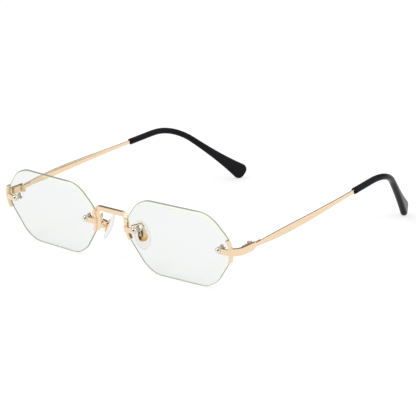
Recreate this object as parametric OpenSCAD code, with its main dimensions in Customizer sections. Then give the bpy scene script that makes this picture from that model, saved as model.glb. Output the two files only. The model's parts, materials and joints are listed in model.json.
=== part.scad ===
// Rimless spectacles with clear six-sided lenses, lens screws, sprung pad arms and folding temples.
// They stand open on a table: the lower lens edges and both tip ends touch z = 0.
// +X is the wearer's left, -Y is the front and +Z is up. Sizes are in millimetres.

/* [Lenses] */
// Width of a lens over its rounded side points
lens_w = 55.7; // [52:0.1:60]
// Height of a lens
lens_h = 33.5; // [30:0.1:38]
// Thickness of a lens
lens_t = 1.8; // [1.4:0.1:2.4]
// Radius of the front surface of a lens
lens_curve_r = 286; // [200:1:400]
// Radius of the rounding at the two side points
side_r = 10.7; // [8:0.1:12]
// Radius of the rounding at the four top and bottom corners
corner_r = 13.2; // [11:0.1:14]
// Height of the side points above the middle of the lens
side_z = 1.7; // [0:0.1:3]
// Half distance between the centres of the two top corners
top_half = 12.2; // [10:0.1:14]
// Half distance between the centres of the two bottom corners
bottom_half = 10.3; // [9:0.1:12]
// Gap between the two lenses at the nose
nose_gap = 18; // [16:0.1:22]
// Angle by which each lens is turned towards its temple
wrap_angle = 2.2; // [0:0.1:5]
// Forward lean of the front when the glasses stand on a table
front_lean = 9.1; // [6:0.1:13]

/* [Lens screws] */
// Distance of each screw from the nearest side point
screw_inset = 5.2; // [4:0.1:7]
// Height of the screws above the middle of the lens
screw_z = 1.9; // [1:0.1:3]
// Radius of the screw shank
shank_r = 0.65; // [0.5:0.05:0.8]
// Radius of the domed screw head
head_r = 1.25; // [0.95:0.05:1.25]
// Height of the domed screw head
head_h = 1; // [0.5:0.05:1]
// Wall of the clear bush round the shank
bush_wall = 0.3; // [0.2:0.05:0.4]
// Thickness of the clear washers on both sides of the lens
washer_t = 0.2; // [0.1:0.05:0.3]
// Height of the domed cap nut behind the lens
nut_h = 1.5; // [1.3:0.05:2]
// Height of the six-sided part of the cap nut
nut_hex_h = 0.7; // [0.5:0.05:0.9]
// Length of the screw inside the cap nut
thread_l = 0.9; // [0.7:0.05:1]

/* [Claws] */
// Thickness of the finger that lies in front of the lens
finger_t = 0.9; // [0.7:0.05:1.1]
// Height of the finger
finger_h = 2.4; // [2:0.1:2.8]
// Radius of the eye round the screw
eye_r = 1.4; // [1.3:0.05:1.6]
// Thickness of the strap outside the lens edge
strap_t = 1; // [0.8:0.1:1.4]
// Half height of the strap along the lens edge
strap_half = 5; // [4:0.1:5.5]
// Depth of the nose strap, front to back
nose_strap_d = 2.5; // [2.3:0.1:3]
// Distance of the finger below the screw
finger_drop = 0.3; // [0:0.1:0.5]
// Depth of the strap at the temple side, front to back
end_strap_d = 1.8; // [1.4:0.1:2.4]
// Overlap of the nose strap on the front of the lens
flange = 0.8; // [0.4:0.1:1.2]
// Distance of the nose strap behind the front of its flange
strap_back = 0.5; // [0.3:0.1:0.8]

/* [Bridge] */
// Height of the bridge bar
bridge_h = 2; // [1.6:0.1:2.4]
// Thickness of the bridge bar, front to back
bridge_t = 1.4; // [1:0.1:1.8]
// Height of the top of the bridge above the middle of the lens
bridge_top = 8.5; // [8:0.1:9.5]
// Outer radius of the two bends of the bridge
bridge_bend = 2.2; // [1.6:0.1:2.6]
// Inner radius of the two bends of the bridge
bridge_inner = 0.9; // [0.5:0.1:1.4]
// Width of the two legs of the bridge
leg_w = 1.1; // [0.9:0.1:1.3]
// Distance of the bridge bar behind the front of its legs
bridge_back = 0.4; // [0.2:0.1:0.6]
// Height of the top of the two bridge feet above the middle of the lens
foot_top = 7.2; // [6.6:0.1:7.6]

/* [Nose pads] */
// Length of a nose pad
pad_l = 13; // [12:0.1:15]
// Width of a nose pad
pad_w = 7; // [6:0.1:8]
// Thickness of a nose pad in its middle
pad_t = 2.3; // [1.8:0.1:2.8]
// Distance from the middle plane of the glasses to the middle of a pad
pad_x = 10.3; // [9.5:0.1:11]
// Distance of the pads behind the lenses
pad_y = 7.9; // [7:0.1:9]
// Height of the middle of the pads above the middle of the lens
pad_z = -4; // [-5:0.1:-3]
// Angle by which the lower ends of the pads stand apart
pad_frontal = 26; // [18:1:30]
// Angle by which the rear edges of the pads stand apart
pad_splay = 30; // [22:1:36]
// Angle by which the lower ends of the pads come forward
pad_tilt = 1; // [0:1:6]
// Thickness of the metal plate in a pad
plate_t = 0.5; // [0.4:0.05:0.6]
// Width of the stem that holds a pad
stem_w = 1.3; // [1:0.05:1.6]
// Wall of the pad box
box_wall = 0.5; // [0.4:0.05:0.6]
// Height of the pad box
box_h = 3.2; // [2.8:0.1:3.6]
// Depth of the hollow in the pad box
box_deep = 1.9; // [1.8:0.1:2.2]
// Gap between the pad and its box
box_gap = 0.35; // [0.25:0.05:0.5]
// Radius of the screw through a pad box
pad_screw_r = 0.42; // [0.35:0.01:0.5]
// Radius of the head of the pad screw
pad_head_r = 0.75; // [0.6:0.05:0.9]
// Height of the head of the pad screw
pad_head_h = 0.4; // [0.3:0.05:0.5]
// Diameter of the pad arm wire
wire_d = 0.95; // [0.8:0.05:1.1]
// Radius of the bend in the pad arm
wire_bend = 1.4; // [1:0.1:1.8]

/* [Temples] */
// Distance from the lens side point out to the middle of the temple bar at the hinge
temple_out = 3.45; // [3:0.05:4.5]
// Distance of the hinge behind the lens
hinge_back = 13.8; // [12:0.1:16]
// Drop of the hinge below the lens screws
hinge_drop = 1; // [0:0.1:2]
// Angle between a temple and the line square to the front
panto = 2.6; // [0:0.1:6]
// Length of the arm that ends at the hinge
arm_l = 9; // [8:0.1:10]
// Length of the elbow between the arm and its strap, in plan
elbow_l = 3.2; // [3:0.1:3.4]
// Turn of the elbow
elbow_turn = 48; // [46:1:50]
// Length of the stretch from the elbow to the strap
elbow_end_l = 2.2; // [2:0.1:2.4]
// Length over which the arm rises towards the strap, in side view
arm_rise_l = 8; // [7:0.5:9]
// Height of the arm
arm_h = 3; // [2.6:0.1:3.4]
// Thickness of the arm
arm_t = 1.3; // [1:0.05:1.6]
// Length of a temple from the hinge to the middle of its bend
temple_l = 95; // [85:1:105]
// Thickness of the temple bar
bar_t = 1; // [0.8:0.05:1.3]
// Greatest height of the temple bar
bar_h = 3; // [2.4:0.1:3.6]
// Height of the temple bar at its front end
bar_front_h = 1.3; // [1:0.1:1.8]
// Height of the temple bar where it enters the tip
bar_rear_h = 1.5; // [1.2:0.1:1.8]
// Outward angle of the temple bar at the hinge
bar_out_angle = 2.7; // [0:0.1:5]
// Turn of the temple bar towards the head along its front half
bar_in_turn = 6.5; // [4:0.1:9]

/* [Temple tips] */
// Length of the tip in front of the middle of the bend
tip_lead = 26.5; // [22:0.5:30]
// Radius of the bend over the ear
ear_r = 31; // [24:1:36]
// Downward angle of the bend over the ear
ear_drop = 45.3; // [40:0.1:50]
// Inward angle of the tip behind the ear
ear_in = 22; // [16:1:28]
// Height of the tip along its front half
tip_h = 2.8; // [2.4:0.1:3]
// Thickness of the tip
tip_t = 3; // [2.6:0.1:3.2]
// Greatest height of the broad end of the tip
paddle_h = 7.6; // [6:0.1:8.5]
// Length of the rounding at the end of the tip
end_round = 3; // [2:0.1:4]

/* [Hinges] */
// Radius of the hinge knuckles
knuckle_r = 1.05; // [0.95:0.05:1.2]
// Height of the three knuckles together
knuckle_h = 3.1; // [2.7:0.1:3.4]
// Distance of the hinge screw in front of the split between arm and temple
hinge_set = 1.2; // [1:0.1:1.5]
// Radius of the hinge screw
hinge_screw_r = 0.5; // [0.4:0.05:0.6]
// Radius of the head of the hinge screw
hinge_head_r = 0.8; // [0.7:0.05:0.95]
// Height of the head of the hinge screw
hinge_head_h = 0.2; // [0.15:0.05:0.35]
// Length of the hinge leaf on the arm
leaf_l = 5.2; // [4.4:0.1:6]
// Thickness of the hinge leaf
leaf_t = 0.8; // [0.6:0.05:0.9]
// Radius of the rivet through the leaf
rivet_r = 0.34; // [0.25:0.01:0.45]
// Thickness of the plate that fixes the tongue to the temple
tongue_plate_t = 0.6; // [0.4:0.05:0.8]
// Length of the plate that fixes the tongue to the temple
tongue_plate_l = 4; // [3:0.1:5]

/* [Clearances] */
// Gap round pieces that are fixed together
seat_gap = 0.03; // [0.02:0.01:0.05]
// Gap round a pin that turns
running_gap = 0.06; // [0.03:0.01:0.08]
// Gap beside pieces that move past each other
side_gap = 0.08; // [0.05:0.01:0.12]

/* [Hidden] */
$fn = 48;

gold = [0.95, 0.80, 0.66];
deep_gold = [0.88, 0.66, 0.32];
silver = [0.86, 0.86, 0.84];
clear = [0.90, 0.96, 0.93, 0.5];
black = [0.08, 0.09, 0.10];

// Depth of the front lens surface behind its middle, at a distance from the middle
function sag(d) = lens_curve_r - sqrt(lens_curve_r * lens_curve_r - d * d);

lens_x = (nose_gap + lens_w) / 2;
screw_a = lens_w / 2 - screw_inset;
screw_turn = asin(screw_a / lens_curve_r);
claw_depth = washer_t + finger_t;
finger_low = screw_z - finger_drop - finger_h / 2;
finger_top = finger_low + finger_h;
// Depth of the lens edge at the side points, and of the back of the flanges near it
edge_y = sag(lens_w / 2);
flange_back = sag(lens_w / 2 - 2) - seat_gap;
// Front of the nose strap with its flange, and the seam between bracket and bridge
nose_y0 = edge_y - 0.5;
seam_z = finger_top + 0.1;
ring_r = side_r + seat_gap;
side_a = lens_w / 2 - side_r;

// Circles whose wrapped outline is the edge of a lens, anticlockwise from the temple side
lens_circles = [
    [side_a, side_z, side_r],
    [top_half, lens_h / 2 - corner_r, corner_r],
    [-top_half, lens_h / 2 - corner_r, corner_r],
    [-side_a, side_z, side_r],
    [-bottom_half, corner_r - lens_h / 2, corner_r],
    [bottom_half, corner_r - lens_h / 2, corner_r]];

// Height of the lens middle that puts the lower front edge of the lens on the table
low_corner_y = sag(norm([bottom_half, lens_h / 2])) - bottom_half * sin(wrap_angle);
stand_z = lens_h / 2 * cos(front_lean) - low_corner_y * sin(front_lean);

// Places of the hinge and of the temple, in the frame of the front
temple_x = lens_x + lens_w / 2 + temple_out;
temple_z = screw_z - hinge_drop;
pivot_in = arm_t / 2 + knuckle_r + side_gap;
temple_up = front_lean - panto;
hinge_up = stand_z + hinge_back * sin(front_lean) + temple_z * cos(front_lean);

// Legs of a path are [length, turn in degrees, steps]
bend_l = ear_r * ear_drop * PI / 180;
flat_l = temple_l - bend_l / 2;
slope = ear_drop - temple_up;
bend_end_up = hinge_up + flat_l * sin(temple_up)
    + ear_r * (cos(slope) - cos(temple_up));
// The end of a tip is half of an oval with this power, which is between an ellipse and a box
end_power = 2.4;
function end_norm(a, b) = let (q = end_power / (end_power - 1)) pow(pow(a, q) + pow(b, q), 1 / q);
// How far the rounded end reaches below its middle
end_reach = end_norm(end_round * sin(slope), paddle_h / 2 * cos(slope));
paddle_l = (bend_end_up - end_reach) / sin(slope);
tip_start = temple_l - tip_lead;
// Length that reaches past every piece from any place on it
far = 2 * (temple_l + lens_w);
tip_end = flat_l + bend_l + paddle_l;
core_end = flat_l + bend_l + paddle_l * 0.45;

// Pad box and the stem in it, along the X axis of the pad; the plate stands out of the pad a little
plate_out = 0.2;
box_x0 = plate_out + box_gap;
box_x1 = box_x0 + box_deep + box_wall;
box_w = stem_w + 2 * side_gap + 2 * box_wall;
pivot_x = box_x0 + box_deep * 0.48;
stem_h = box_h / 2 - 0.1;

// Height of one hinge knuckle
third = knuckle_h / 3;
// Share of the leaf length at which its rivet sits
rivet_at = 0.62;
// Extra radius of the balls at the bends of a wire
bead = 0.08;

function step_on(p, length, turn) = [
    p[0] + length * cos(p[2] + turn / 2),
    p[1] + length * sin(p[2] + turn / 2),
    p[2] + turn,
    p[3] + length];
function leg_points(start, leg) = [
    for (k = 0, p = start; k <= leg[2]; k = k + 1, p = step_on(p, leg[0] / leg[2], leg[1] / leg[2])) p];
// Points [x, y, heading, distance] along a path of legs
function walk(legs, start, i = 0) =
    i == len(legs) ? [start] :
    let (points = leg_points(start, legs[i]))
    concat([for (k = [0 : legs[i][2] - 1]) points[k]], walk(legs, points[legs[i][2]], i + 1));
// Closed outline at half widths on both sides of a path
function beside(p, d) = [p[0] - d * sin(p[2]), p[1] + d * cos(p[2])];
function ribbon(path, half) = concat(
    [for (k = [0 : len(path) - 1]) beside(path[k], half[k])],
    [for (k = [len(path) - 1 : -1 : 0]) beside(path[k], -half[k])]);
// Smooth step from 0 to 1 as t goes from 0 to 1
function ease(t) = let (u = min(max(t, 0), 1)) u * u * (3 - 2 * u);

// Height of the temple bar, and of the wire in the tip, at a distance along it
function bar_height(s) = let (widest = tip_start * 0.3)
    s < widest ? bar_front_h + (bar_h - bar_front_h) * sin(90 * s / widest) :
    bar_rear_h + (bar_h - bar_rear_h) * (1 - ease((s - widest) / (tip_start - widest)));
// The tip widens late towards its end, with this power of the distance behind the bend
flare_power = 3;
// Height of the tip at a distance along it
function tip_height(s) =
    s > tip_end ? paddle_h * pow(max(1 - pow((s - tip_end) / end_round, end_power), 0.002), 1 / end_power) :
    tip_h + (paddle_h - tip_h) * pow(max(s - flat_l - bend_l / 2, 0) / (paddle_l + bend_l / 2), flare_power);

// Side view of the temple at a distance along it, as [back, up, heading, distance]
function side_point(s) = let (
    a = min(max(s - flat_l, 0), bend_l) / ear_r * 180 / PI,
    rest = max(s - flat_l - bend_l, 0))
    [min(s, flat_l) + ear_r * sin(a) + rest * cos(a), ear_r * (cos(a) - 1) - rest * sin(a), -a, s];
function side_path(from, to, steps) = [for (k = [0 : steps]) side_point(from + (to - from) * k / steps)];
// Plan of the temple, as [back, out from the head, heading, distance]
front_turn_l = tip_start * 0.7;
ear_turn_l = bend_l * 0.66;
plan_legs = [
    [front_turn_l, -bar_in_turn, 10],
    [flat_l - front_turn_l + bend_l * 0.16, 0, 1],
    [ear_turn_l, -ear_in, 8],
    [far - tip_end, 0, 1]];
plan_path = walk(plan_legs, [0, 0, bar_out_angle, 0]);

// Half way from the top edge of the lenses to the rear end of the tips
tip_last = side_point(tip_end);
tip_reach = end_norm(end_round * cos(slope), paddle_h / 2 * sin(slope));
back_y = hinge_back * cos(front_lean) - temple_z * sin(front_lean)
    + tip_last[0] * cos(temple_up) - tip_last[1] * sin(temple_up) + tip_reach;
front_y = (sag(norm([top_half, lens_h / 2])) - top_half * sin(wrap_angle)) * cos(front_lean)
    - lens_h / 2 * sin(front_lean);
middle_y = (front_y + back_y) / 2;

// Tangent points of the outline wrapped round two neighbouring circles
function wrap_points(c1, c2) = let (
    d = [c2[0] - c1[0], c2[1] - c1[1]],
    a = atan2(d[1], d[0]) - acos((c1[2] - c2[2]) / norm(d)))
    [[c1[0] + c1[2] * cos(a), c1[1] + c1[2] * sin(a)], [c2[0] + c2[2] * cos(a), c2[1] + c2[2] * sin(a)]];

// Points round one circle of the outline, in steps of about 6 degrees
function corner_points(before, c, after) = let (
    first = wrap_points(before, c)[1],
    last = wrap_points(c, after)[0],
    a0 = atan2(first[1] - c[1], first[0] - c[0]),
    a1 = atan2(last[1] - c[1], last[0] - c[0]),
    turn = a1 < a0 ? a1 - a0 + 360 : a1 - a0,
    steps = ceil(turn / 6))
    [for (k = [0 : steps]) let (a = a0 + turn * k / steps) [c[0] + c[2] * cos(a), c[1] + c[2] * sin(a)]];

module wrapped(circles) {
    n = len(circles);
    polygon([for (i = [0 : n - 1])
        each corner_points(circles[(i + n - 1) % n], circles[i], circles[(i + 1) % n])]);
}

// Turns a drawing from its own plane to the X-Z plane, y0 to y1 in depth
module upright(y0, y1) {
    translate([0, y1, 0]) rotate([90, 0, 0]) linear_extrude(y1 - y0) children();
}

// Cylinder along Y from y0 to y1
module rod_y(r, y0, y1) {
    translate([0, y0, 0]) rotate([-90, 0, 0]) cylinder(r = r, h = y1 - y0);
}

// Dome that stands on the X-Y plane
module dome(r, h) {
    ball = (r * r + h * h) / (2 * h);
    intersection() {
        translate([0, 0, h - ball]) sphere(ball, $fn = 64);
        cylinder(r = r, h = h);
    }
}

// Dome with its flat side at y0, pointing to the front
module front_dome(r, h, y0) {
    translate([0, y0, 0]) rotate([90, 0, 0]) dome(r, h);
}

module one_side(side) {
    mirror([side < 0 ? 1 : 0, 0, 0]) children();
}

module front(side) {
    translate([0, -middle_y, stand_z]) rotate([front_lean, 0, 0]) one_side(side) children();
}

module lens_place() {
    translate([lens_x, 0, 0]) rotate([0, 0, wrap_angle]) children();
}

// Frame of a lens screw: origin on the front of the lens, +Y into the lens; end is -1 at the nose
module screw_place(end) {
    translate([0, lens_curve_r, screw_z]) rotate([0, 0, end * screw_turn])
        translate([0, -lens_curve_r, 0]) children();
}

module all_screws() {
    for (side = [-1, 1], end = [-1, 1]) {
        front(side) lens_place() screw_place(end) children();
    }
}

module lens(side) {
    color(clear) front(side) lens_place() difference() {
        intersection() {
            translate([0, lens_curve_r, 0]) difference() {
                sphere(lens_curve_r, $fn = 200);
                sphere(lens_curve_r - lens_t, $fn = 200);
            }
            upright(-far, far) wrapped(lens_circles);
        }
        for (end = [-1, 1]) {
            screw_place(end) rod_y(shank_r + bush_wall + 2 * seat_gap, -lens_t, 2 * lens_t);
        }
    }
}

module lens_screws() {
    color(silver) all_screws() {
        front_dome(head_r, head_h, -claw_depth);
        rod_y(shank_r, -claw_depth, lens_t + washer_t + thread_l);
    }
}

module lens_bushes() {
    color(clear) all_screws() difference() {
        rod_y(shank_r + bush_wall + seat_gap, seat_gap, lens_t - seat_gap);
        rod_y(shank_r + seat_gap, -lens_t, 2 * lens_t);
    }
}

module washer(y0) {
    difference() {
        rod_y(eye_r, y0 + seat_gap / 2, y0 + washer_t - seat_gap / 2);
        rod_y(shank_r + seat_gap, y0 - 1, y0 + 1);
    }
}

module front_washers() {
    color(clear) all_screws() washer(-washer_t - seat_gap / 2);
}

module rear_washers() {
    color(clear) all_screws() washer(lens_t + seat_gap / 2);
}

module cap_nuts() {
    seat = lens_t + washer_t + seat_gap;
    // The dome starts a little inside the six-sided part and is a little narrower
    dome_at = nut_hex_h - 0.1;
    color(silver) all_screws() difference() {
        union() {
            translate([0, seat, 0]) rotate([-90, 0, 0]) cylinder(r = head_r + 0.1, h = nut_hex_h, $fn = 6);
            translate([0, seat + dome_at, 0]) rotate([-90, 0, 0]) dome(head_r - 0.1, nut_h - dome_at);
        }
        rod_y(shank_r + seat_gap / 2, seat - nut_h, seat + thread_l + seat_gap);
    }
}

// Finger with the eye of a claw, from the screw out into the strap
module finger(end) {
    reach = screw_inset + strap_t / 2;
    screw_place(end) difference() {
        upright(-claw_depth + seat_gap, -washer_t - seat_gap) {
            circle(eye_r);
            translate([end > 0 ? 0 : -reach, finger_low - screw_z]) square([reach, finger_h]);
        }
        rod_y(shank_r + seat_gap / 2, -2 * claw_depth, lens_t);
    }
}

// Ring stretch along a side point of the lens, from z0 to z1 and between two radii
module edge_ring(end, r0, r1, z0, z1) {
    intersection() {
        translate([end * side_a, side_z]) difference() {
            circle(r1, $fn = 120);
            circle(r0, $fn = 120);
        }
        translate([end > 0 ? side_a : -side_a - 2 * side_r, z0]) square([2 * side_r, z1 - z0]);
    }
}

module nose_bracket(side) {
    low = side_z - strap_half;
    slant = 35;
    color(gold) front(side) lens_place() difference() {
        union() {
            finger(-1);
            upright(nose_y0 + strap_back, nose_y0 + nose_strap_d)
                edge_ring(-1, ring_r, ring_r + strap_t, low, seam_z);
            // The strap comes forward round the end of the finger
            upright(edge_y - claw_depth + 0.15, nose_y0 + 2 * strap_back)
                edge_ring(-1, ring_r, ring_r + strap_t / 2, finger_low, finger_top);
            // The flange in front of the lens, with its root in the strap
            upright(nose_y0, flange_back) edge_ring(-1, side_r - flange, ring_r + 0.1, low, seam_z);
            upright(nose_y0, nose_y0 + 2 * strap_back)
                edge_ring(-1, ring_r, ring_r + strap_t / 2, low, seam_z);
        }
        // The lower end is cut to a slant that runs out on the lens edge
        translate([-lens_w / 2 - strap_t, 0, low]) rotate([0, slant, 0])
            translate([-far, -far, -far]) cube([2 * far, 2 * far, far]);
    }
}

// Arch that stands on the seams, with its two upper corners bent to a radius
module arch(half, top, bend) {
    translate([bend - half, seam_z]) square([2 * (half - bend), top - seam_z]);
    translate([-half, seam_z]) square([2 * half, top - bend - seam_z]);
    for (s = [-1, 1]) {
        translate([s * (half - bend), top - bend]) circle(bend);
    }
}

// Plate of the bridge in front of the lens, above the flange of the nose strap
module foot_outline() {
    nose_x = -lens_w / 2;
    difference() {
        polygon([[nose_x - strap_t / 2, seam_z], [nose_x + 2, seam_z], [nose_x + 2, seam_z + 1],
            [nose_x, foot_top], [nose_x - strap_t / 2, foot_top]]);
        translate([-side_a, side_z]) circle(side_r - flange, $fn = 120);
    }
}

// Depth in the frame of the front of a depth at the nose point of a lens
function nose_depth(y) = y * cos(wrap_angle) - lens_w / 2 * sin(wrap_angle);

module bridge_bar() {
    half = nose_gap / 2;
    leg_y0 = nose_depth(nose_y0 + strap_back);
    bar_y0 = leg_y0 + bridge_back;
    color(gold) front(1) difference() {
        union() {
            upright(bar_y0, bar_y0 + bridge_t) difference() {
                arch(half, bridge_top, bridge_bend);
                arch(half - leg_w, bridge_top - bridge_h, bridge_inner);
            }
            for (side = [-1, 1]) {
                one_side(side) upright(leg_y0, nose_depth(nose_y0 + nose_strap_d))
                    translate([half - leg_w, seam_z]) square([leg_w, bridge_top - bridge_bend - seam_z]);
                one_side(side) lens_place() upright(nose_y0, nose_y0 + 2 * strap_back) foot_outline();
            }
        }
        for (side = [-1, 1]) {
            one_side(side) lens_place() upright(flange_back, far)
                wrapped([for (c = lens_circles) [c[0], c[1], c[2] + seat_gap]]);
        }
    }
}

// Round wire through a list of points, with every corner bent to a radius between two small beads
module bent_wire(points, bend, r) {
    n = len(points);
    dir = [for (i = [0 : n - 2]) (points[i + 1] - points[i]) / norm(points[i + 1] - points[i])];
    turn = [for (i = [0 : n - 1]) i == 0 || i == n - 1 ? 0 : acos(dir[i - 1] * dir[i])];
    cut = [for (i = [0 : n - 1]) bend * tan(turn[i] / 2)];
    for (i = [0 : n - 2]) {
        from = points[i] + dir[i] * (cut[i] + bead);
        translate(from) rotate([0, acos(dir[i][2]), atan2(dir[i][1], dir[i][0])])
            cylinder(r = r, h = norm(points[i + 1] - points[i]) - cut[i] - cut[i + 1] - 2 * bead, $fn = 24);
    }
    for (i = [1 : n - 2]) {
        from = points[i] - dir[i - 1] * cut[i];
        axis = cross(dir[i - 1], dir[i]) / sin(turn[i]);
        inward = cross(axis, dir[i - 1]);
        centre = from + inward * bend;
        multmatrix([for (k = [0 : 2]) [-inward[k], dir[i - 1][k], axis[k], centre[k]]])
            rotate_extrude(angle = turn[i], $fn = 72) translate([bend, 0]) circle(r, $fn = 24);
        for (p = [from, points[i] + dir[i] * cut[i]]) {
            translate(p) sphere(r + bead, $fn = 24);
        }
    }
}

// Frame of a nose pad: +Z up the pad, -X towards the nose
module pad_place() {
    translate([pad_x, pad_y, pad_z]) rotate([-pad_tilt, 0, 0]) rotate([0, 0, -pad_splay])
        rotate([0, -pad_frontal, 0]) children();
}

// The upper end of a pad is narrower than its lower end
pad_top_r = pad_w * 0.42;
pad_circles = [
    [0, pad_l / 2 - pad_top_r, pad_top_r],
    [0, pad_w / 2 - pad_l / 2, pad_w / 2]];
// Radius of the domed front of a pad
crown_r = 16;

// Turns a drawing of the pad, across and up, to its place between two depths
module pad_slab(x0, x1) {
    translate([x0, 0, 0]) rotate([90, 0, 90]) linear_extrude(x1 - x0) children();
}

module plate_outline(gap) {
    wrapped([[0, 1, pad_w * 0.26 + gap], [0, -1, pad_w * 0.3 + gap]]);
}

module nose_pad(side) {
    color(clear) front(side) pad_place() difference() {
        intersection() {
            pad_slab(-pad_t, 0) wrapped(pad_circles);
            translate([crown_r - pad_t, 0, 0]) sphere(crown_r, $fn = 96);
        }
        pad_slab(plate_out - plate_t - seat_gap, pad_t) plate_outline(seat_gap);
    }
}

module pad_plate(side) {
    stem_x1 = box_x0 + box_deep - 0.25;
    color(deep_gold) front(side) pad_place() difference() {
        union() {
            pad_slab(plate_out - plate_t, plate_out) plate_outline(0);
            translate([plate_out - plate_t / 2, -stem_w / 2, -stem_h / 2])
                cube([stem_x1 - plate_out + plate_t / 2, stem_w, stem_h]);
        }
        translate([pivot_x, 0, 0]) rod_y(pad_screw_r + running_gap, -box_w, box_w);
    }
}

module pad_box(side) {
    color(deep_gold) front(side) pad_place() difference() {
        translate([box_x0, -box_w / 2, -box_h / 2]) cube([box_x1 - box_x0, box_w, box_h]);
        translate([box_x0 - box_deep, box_wall - box_w / 2, box_wall - box_h / 2])
            cube([2 * box_deep, box_w - 2 * box_wall, box_h - 2 * box_wall]);
        translate([pivot_x, 0, 0]) rod_y(pad_screw_r + seat_gap / 2, -box_w, box_w);
    }
}

module pad_screws() {
    color(silver) for (side = [-1, 1]) {
        front(side) pad_place() translate([pivot_x, 0, 0]) {
            rod_y(pad_screw_r, -box_w / 2 - pad_head_h / 2, box_w / 2 + seat_gap);
            front_dome(pad_head_r, pad_head_h, -box_w / 2 - seat_gap / 2);
        }
    }
}

// Place in the frame of the front of a point given in the frame of the pad
function pad_point(p) = let (
    a = [p[0] * cos(pad_frontal) - p[2] * sin(pad_frontal), p[1],
        p[0] * sin(pad_frontal) + p[2] * cos(pad_frontal)],
    b = [a[0] * cos(pad_splay) + a[1] * sin(pad_splay), a[1] * cos(pad_splay) - a[0] * sin(pad_splay), a[2]])
    [b[0] + pad_x, b[1] * cos(pad_tilt) + b[2] * sin(pad_tilt) + pad_y,
     b[2] * cos(pad_tilt) - b[1] * sin(pad_tilt) + pad_z];

module pad_arm(side) {
    root = [nose_gap / 2 - strap_t * 0.5, nose_y0 + nose_strap_d, screw_z - 0.4];
    seat = pad_point([box_x1 + wire_d / 2, 0, 0]);
    // The wire rises above the pad box and turns down to it
    corner = pad_point([box_x1 + 1.3, 0.4, box_h + 1.4]);
    color(gold) front(side) bent_wire([root, corner, seat], wire_bend, wire_d / 2);
}

// Frame of a temple: origin on its middle line at the hinge, +Y back along it, +X out
module temple_place(side) {
    front(side) translate([temple_x, hinge_back, temple_z]) rotate([-panto, 0, 0]) children();
}

module end_piece(side) {
    butt = side_gap / 2;
    arm_top = arm_h / 2;
    // Plan of the arm: straight, then an elbow, then a short stretch to the strap
    elbow_steps = 6;
    arm_plan = walk([[arm_l - elbow_l / 2, 0, 1], [elbow_l, -elbow_turn, elbow_steps],
        [elbow_end_l, 0, 1]], [0, -butt, -90, 0]);
    // Side view of the arm: its lower corner is cut away at the hinge and it rises a little to the strap
    side_end = -arm_l - arm_rise_l;
    arm_side = [[0, arm_top], [0, -arm_top * 0.45], [-2.6, -arm_top], [-arm_l, 0.3 - arm_top],
        [side_end, 0.5 - arm_top], [side_end, 0.5 + arm_top], [-arm_l, 0.3 + arm_top]];
    color(gold) union() {
        front(side) lens_place() {
            finger(1);
            upright(edge_y - claw_depth + 0.1, edge_y - claw_depth + 0.1 + end_strap_d)
                edge_ring(1, ring_r, ring_r + strap_t, side_z - strap_half, side_z + strap_half);
        }
        temple_place(side) intersection() {
            translate([0, 0, -far]) linear_extrude(2 * far)
                polygon(ribbon(arm_plan, [for (p = arm_plan) arm_t / 2]));
            rotate([90, 0, 90]) translate([0, 0, -far]) linear_extrude(2 * far) polygon(arm_side);
        }
    }
}

// Frame of the hinge: origin on the axis of its screw, +Y back, +X out
module hinge_place(side) {
    temple_place(side) translate([-pivot_in, -hinge_set, 0]) children();
}

module hinge_leaf(side) {
    x1 = pivot_in - arm_t / 2 - seat_gap / 2;
    color(gold) hinge_place(side) difference() {
        union() {
            translate([x1 - leaf_t, -leaf_l, -knuckle_h / 2]) cube([leaf_t, leaf_l, knuckle_h]);
            translate([0, -knuckle_r, -knuckle_h / 2]) cube([x1, knuckle_r, knuckle_h]);
            translate([0, 0, -knuckle_h / 2]) cylinder(r = knuckle_r, h = knuckle_h);
        }
        // Room for the tongue between the two knuckles
        translate([0, 0, -third / 2]) cylinder(r = knuckle_r + side_gap, h = third);
        translate([0, 0, -third / 2]) cube([2 * knuckle_r, 2 * knuckle_r, third]);
        translate([0, 0, -knuckle_h]) cylinder(r = hinge_screw_r + seat_gap / 2, h = 2 * knuckle_h);
        translate([0, -leaf_l * rivet_at, 0]) rotate([0, 0, -90]) rod_y(rivet_r + seat_gap / 2, -x1, 2 * x1);
    }
}

// Rivets through the leaves, with low heads that are wider than their shanks
module leaf_rivets() {
    x0 = pivot_in - arm_t / 2 - leaf_t - seat_gap / 2;
    color(silver) for (side = [-1, 1]) {
        hinge_place(side) translate([x0, -leaf_l * rivet_at, 0]) rotate([0, 0, -90]) {
            rod_y(rivet_r, -seat_gap, leaf_t);
            front_dome(rivet_r + 0.2, rivet_r * 0.65, -seat_gap / 2);
        }
    }
}

module hinge_screw(side) {
    slot_w = 0.2;
    color(gold) hinge_place(side) {
        translate([0, 0, -knuckle_h / 2]) cylinder(r = hinge_screw_r, h = knuckle_h + hinge_head_h / 2);
        // The head has a slot across its upper half
        translate([0, 0, knuckle_h / 2 + seat_gap / 2]) difference() {
            dome(hinge_head_r, hinge_head_h);
            translate([-hinge_head_r, -slot_w / 2, hinge_head_h / 2])
                cube([2 * hinge_head_r, slot_w, hinge_head_h]);
        }
    }
}

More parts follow.
